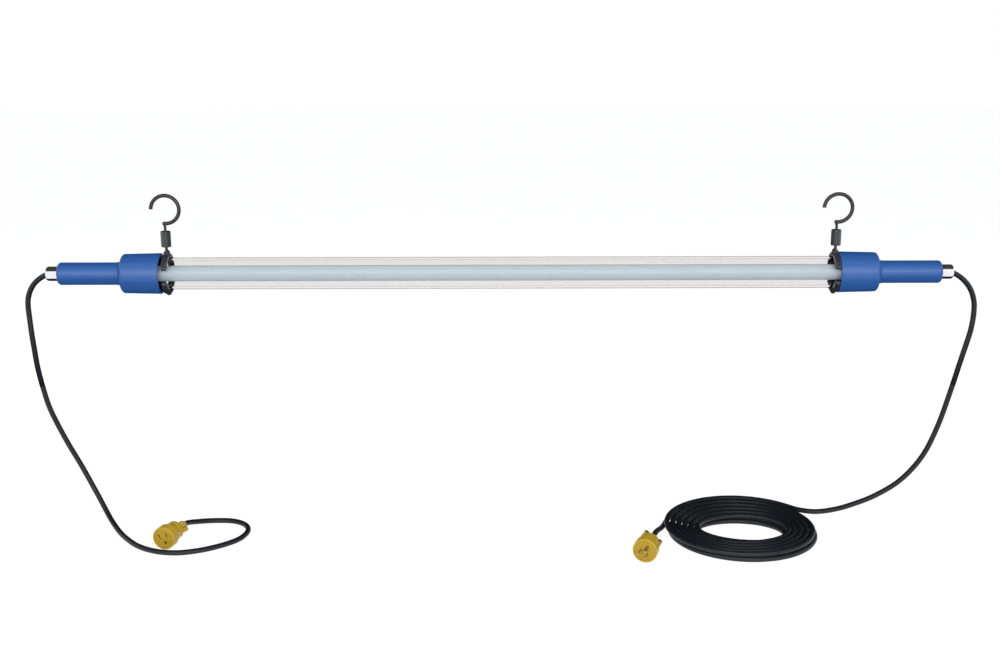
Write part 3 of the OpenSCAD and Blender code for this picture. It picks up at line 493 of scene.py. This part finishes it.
class WORKLIGHT_OT_stage(Operator):
    """Camera at the photograph's place, white floor and surround, soft lights, dark panels"""
    bl_idname = "worklight.stage"
    bl_label = "Stage"

    def execute(self, context):
        scene = context.scene
        level = settings().light_level
        self.camera(scene)
        floor = piece("floor", self.slab(FLOOR_REACH, FLOOR_REACH, FLOOR_TOP, FLOOR_THICK))
        floor.data.materials.append(self.floor_finish())
        for name, at, aim, size, power in LIGHTS:
            self.light(scene, name, at, aim, size, power * level)
        for name, *span in PANELS:
            self.panel(name, *span)
        self.world(scene, level)
        scene.view_settings.view_transform = "Standard"
        return {"FINISHED"}

    @staticmethod
    def camera(scene):
        """A long lens, a little above the lamp, with the slight tilt of the photograph."""
        camera = bpy.data.objects.new("camera", bpy.data.cameras.new("camera"))
        camera.location = CAMERA_AT
        camera.rotation_mode = "ZYX"
        camera.rotation_euler = (math.radians(90 - CAMERA_DOWN), 0, math.radians(CAMERA_ROLL))
        camera.data.sensor_width = CAMERA_SENSOR
        camera.data.lens = CAMERA_LENS
        scene.collection.objects.link(camera)
        scene.camera = camera

    @staticmethod
    def light(scene, name, at, aim, size, power):
        """A soft rectangular light that faces its aim."""
        lamp = bpy.data.lights.new(name, "AREA")
        lamp.shape = "RECTANGLE"
        lamp.size, lamp.size_y = size
        lamp.energy = power
        made = bpy.data.objects.new(name, lamp)
        made.location = at
        x, y, z = np.array(at) - np.array(aim)
        made.rotation_euler = (math.atan2(math.hypot(x, y), z), 0, math.atan2(x, -y))
        scene.collection.objects.link(made)

    @staticmethod
    def slab(across, along, top, thick):
        """A slab about the lamp's middle: four corners at the top, and the same ones a thickness below."""
        (left, right), (front, back) = across, along
        corners = [(left, front), (right, front), (right, back), (left, back)]
        middle = LAMP_AT[0] * MM
        return np.array([[(middle + x, y, z) for x, y in corners] for z in (top, top - thick)])

    def panel(self, name, *span):
        """A near black panel out of the picture, seen only in reflections."""
        made = piece(name, self.slab(*span))
        s = Shader(name)
        made.data.materials.append(s.close(s.surface("Emission", Color=grey(PANEL_GREY))))
        for ray in ("camera", "diffuse", "transmission", "shadow", "volume_scatter"):
            setattr(made, "visible_" + ray, False)

    @staticmethod
    def floor_finish():
        """White where it is seen, with a little of its shade, and pale to the light that it sends back."""
        s = Shader("floor")
        shade = s.surface("BsdfDiffuse", Color=grey(FLOOR_SHADE))
        white = s.surface("Emission", Color=grey(FLOOR_WHITE))
        seen = s.node("ShaderNodeAddShader", None, {0: shade, 1: white}).outputs[0]
        plain = s.surface("BsdfDiffuse", Color=grey(FLOOR_BOUNCE))
        return s.close(s.blend(s.rays("Camera", "Glossy", "Transmission"), plain, seen))

    @staticmethod
    def world(scene, level):
        """A white surround where it is seen, and a soft grey sky for light."""
        s = Shader("surround", "World")
        sky = s.surface("Background", Color=tone(SKY), Strength=SKY_LEVEL * level)
        white = s.surface("Background", Color=grey(1))
        scene.world = s.close(s.blend(s.rays("Camera", "Glossy", "Transmission"), sky, white))


# Cords

def coil_line(t):
    """The coil at t degrees from its entry: an ellipse whose half widths shrink evenly to the inner ones at
    half way and grow again, while its middle leans by a share of the same. It starts one layer up and comes
    down half way, by three squares less two cubes of the way down."""
    half = COIL_DEG / 2
    share = (1 - np.abs(t - half) / half)[:, None]
    angle = np.radians(COIL_ENTRY + t)
    round_it = np.stack([np.cos(angle), np.sin(angle)], axis=1)
    flat = share * COIL_LEAN + (COIL_OUT + share * (COIL_IN - COIL_OUT)) * round_it
    down = np.clip((t - half + CLIMB_DEG / 2) / CLIMB_DEG, 0, 1)
    lift = COIL_LIFT * (1 - down * down * (3 - 2 * down))
    return COIL_AT + np.column_stack([flat, lift])


def hanging(side, sag, route):
    """The start of a cord, at its gland, and the points of its curve: a guide point behind the start, the
    end of a lead at the sag angle, and its route."""
    down = np.array([side * math.cos(sag), 0, -math.sin(sag)])
    leave = np.array([side * CORD_EXIT, 0, 0])
    return leave, [route[0] - GUIDE * down, leave + LEAD * down, *route]


def short_path():
    """The short cord: from the left gland through its route to the back of the socket."""
    start, through = hanging(-1, LEFT_SAG, LEFT_ROUTE)
    back = SOCKET_AT - SOCKET_LEN * SOCKET_OUT
    through += [back - LEAD * SOCKET_OUT, back + GUIDE * SOCKET_OUT]
    return np.concatenate([[start], smooth(through), [back]])


def long_path():
    """The long cord: from the right gland to the coil, round the coil, and straight out to the plug. It
    rises on that way by ten cubes less fifteen fourth powers and plus six fifth powers of it."""
    start, through = hanging(1, RIGHT_SAG, RIGHT_ROUTE)
    entry = math.radians(COIL_ENTRY)
    heading = np.array([-COIL_OUT[0] * math.sin(entry), COIL_OUT[1] * math.cos(entry), 0])
    heading /= np.linalg.norm(heading)
    coil = coil_line(np.linspace(0, COIL_DEG, round(COIL_DEG / COIL_STEP)))
    foot = coil[0] - CORD_D * heading
    through += [foot - LEAD * heading, foot + GUIDE * heading]
    leave = coil[-1]
    back_z = FLOOR_Z + PLUG_D / 2
    s = np.linspace(0, 1, TAIL_POINTS)[1:]
    rise = np.minimum(1, s * (1 + CORD_D / TAIL_LEN))
    tail = leave + TAIL_LEN * s[:, None] * PLUG_OUT
    tail[:, 2] = leave[2] + (back_z - leave[2]) * rise ** 3 * (10 - 15 * rise + 6 * rise ** 2)
    return np.concatenate([[start], smooth(through), coil, tail])


class WORKLIGHT_OT_cords(Operator):
    """The short cord to the socket and the long coiled cord to the plug"""
    bl_idname = "worklight.cords"
    bl_label = "Cords"

    def execute(self, context):
        black = rubber("cord_jacket", settings().black, 0.5)
        device = ("body", "face", "clamp", "clamp_screws", "cord_end")
        self.cord("short_cord", short_path(), ["cord_left"], "connector", "loose", black,
                  ["socket_" + n for n in (*device, "contacts")])
        self.cord("long_cord", long_path(), ["cord_right", "cord_coil"], "plug", "coiled", black,
                  ["plug_" + n for n in (*device, "blades", "ground_pin")])
        dress(black, "jacket_ends", "plug_cord_end", "socket_cord_end")
        return {"FINISHED"}

    @staticmethod
    def cord(name, line, nodes, end, lay, finish, carried):
        """One cord along its line, in the solids' place. The pieces at its far end are not used."""
        path = placed(line)
        diameter = settings().cord_diameter
        made = piece(name, tube(path, diameter / 2))
        made.data.materials.append(finish)
        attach(made, "lamp")
        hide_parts(*nodes)


# Finishes of the solids

class WORKLIGHT_OT_lamp(Operator):
    """Clear guard tube, frosted lamp, its inner parts, the lampholders and the wires"""
    bl_idname = "worklight.lamp"
    bl_label = "Lamp and tube"

    def execute(self, context):
        dress(clear("clear_tube"), "guard_tube")
        dress(frosted("frosted_lens", settings().lens), "lamp_lens")
        dress(machined("lamp_metal", 0.38, lines=(12, 900, 900), depth=0.00003), "lamp_heat_sink",
              *both("lamp_cap"))
        for name, rough in (("board", 0.5), ("chips", 0.3), ("driver", 0.4)):
            dress(moulded(name, COLOURS[name], rough), "lamp_" + name)
        dress(moulded("holder_plastic", COLOURS["holder_plastic"], 0.4), *both("lampholder"))
        dress(machined("contact_metal", 0.45), "lamp_pins", "holder_contacts", "holder_leads",
              "plug_blades", "plug_ground_pin", "socket_contacts")
        for name in ("wire_black", "wire_white", "wire_green"):
            dress(moulded(name, COLOURS[name], 0.4), name)
        return {"FINISHED"}


class WORKLIGHT_OT_handles(Operator):
    """Blue handles, their mouth seals and the glands' grommets"""
    bl_idname = "worklight.handles"
    bl_label = "Handles"

    def execute(self, context):
        blue = settings().blue
        dress(moulded("blue_handle", blue, 0.36, grain=1500, depth=0.00003, cloud=0.07, gloss=0.6),
              *both("end_cap"))
        dress(rubber("black_seal", settings().black, 0.6), *both("mouth_seal", "gland_grommet"))
        return {"FINISHED"}


class WORKLIGHT_OT_hangers(Operator):
    """Black bands, their pins, screws and nuts, swivel barrels, hooks, and the screws of plug and socket"""
    bl_idname = "worklight.hangers"
    bl_label = "Hangers"

    def execute(self, context):
        dress(moulded("black_band", COLOURS["black_band"], 0.34, grain=1600, cloud=0.2),
              *both("hanger_band"))
        dress(coated("black_steel"), *both("eye_stem", "hook", "pivot_pin"))
        dress(coated("grey_barrel", 0.38), *both("swivel_barrel"))
        dress(coated("dark_screw"), *both("set_screw"))
        dress(machined("steel", 0.42), *both("band_nut"), "plug_clamp_screws", "socket_clamp_screws")
        return {"FINISHED"}


class WORKLIGHT_OT_glands(Operator):
    """Bright cord glands"""
    bl_idname = "worklight.glands"
    bl_label = "Glands"

    def execute(self, context):
        dress(machined("gland_metal", 0.24, lines=(5000, 20, 20)),
              *both("gland_body", "gland_nut", "gland_locknut"))
        return {"FINISHED"}


class WORKLIGHT_OT_devices(Operator):
    """Yellow plug and socket"""
    bl_idname = "worklight.devices"
    bl_label = "Plug and socket"

    def execute(self, context):
        yellow = settings().yellow
        dress(moulded("yellow_shell", yellow, 0.38, grain=1300, depth=0.00005, cloud=0.08),
              "plug_body", "plug_clamp", "socket_body", "socket_clamp")
        dress(moulded("yellow_face", tone(yellow, share=0.85), 0.42, grain=1300, depth=0.00005),
              "plug_face", "socket_face")
        return {"FINISHED"}


class WORKLIGHT_PT_panel(Panel):
    """The work light's settings and steps"""
    bl_idname = "WORKLIGHT_PT_panel"
    bl_label = "Tube work light"
    bl_space_type = "VIEW_3D"
    bl_region_type = "UI"
    bl_category = "Work light"

    def draw(self, context):
        for key in WorkLightSettings.__annotations__:
            self.layout.prop(settings(), key)
        for step in STEPS:
            self.layout.operator(step.bl_idname)


STEPS = (WORKLIGHT_OT_stage, WORKLIGHT_OT_cords, WORKLIGHT_OT_lamp, WORKLIGHT_OT_handles,
         WORKLIGHT_OT_hangers, WORKLIGHT_OT_glands, WORKLIGHT_OT_devices)
CLASSES = (WorkLightSettings, *STEPS, WORKLIGHT_PT_panel)


def register():
    """Adds the classes and the scene's settings."""
    for made in CLASSES:
        bpy.utils.register_class(made)
    bpy.types.Scene.work_light = PointerProperty(type=WorkLightSettings)


def unregister():
    """Takes the settings and the classes away again."""
    del bpy.types.Scene.work_light
    for made in reversed(CLASSES):
        bpy.utils.unregister_class(made)


def main():
    """Builds the scene step by step."""
    register()
    bpy.ops.worklight.stage()
    bpy.ops.worklight.cords()
    bpy.ops.worklight.lamp()
    bpy.ops.worklight.handles()
    bpy.ops.worklight.hangers()
    bpy.ops.worklight.glands()
    bpy.ops.worklight.devices()


if __name__ == "__main__":
    main()
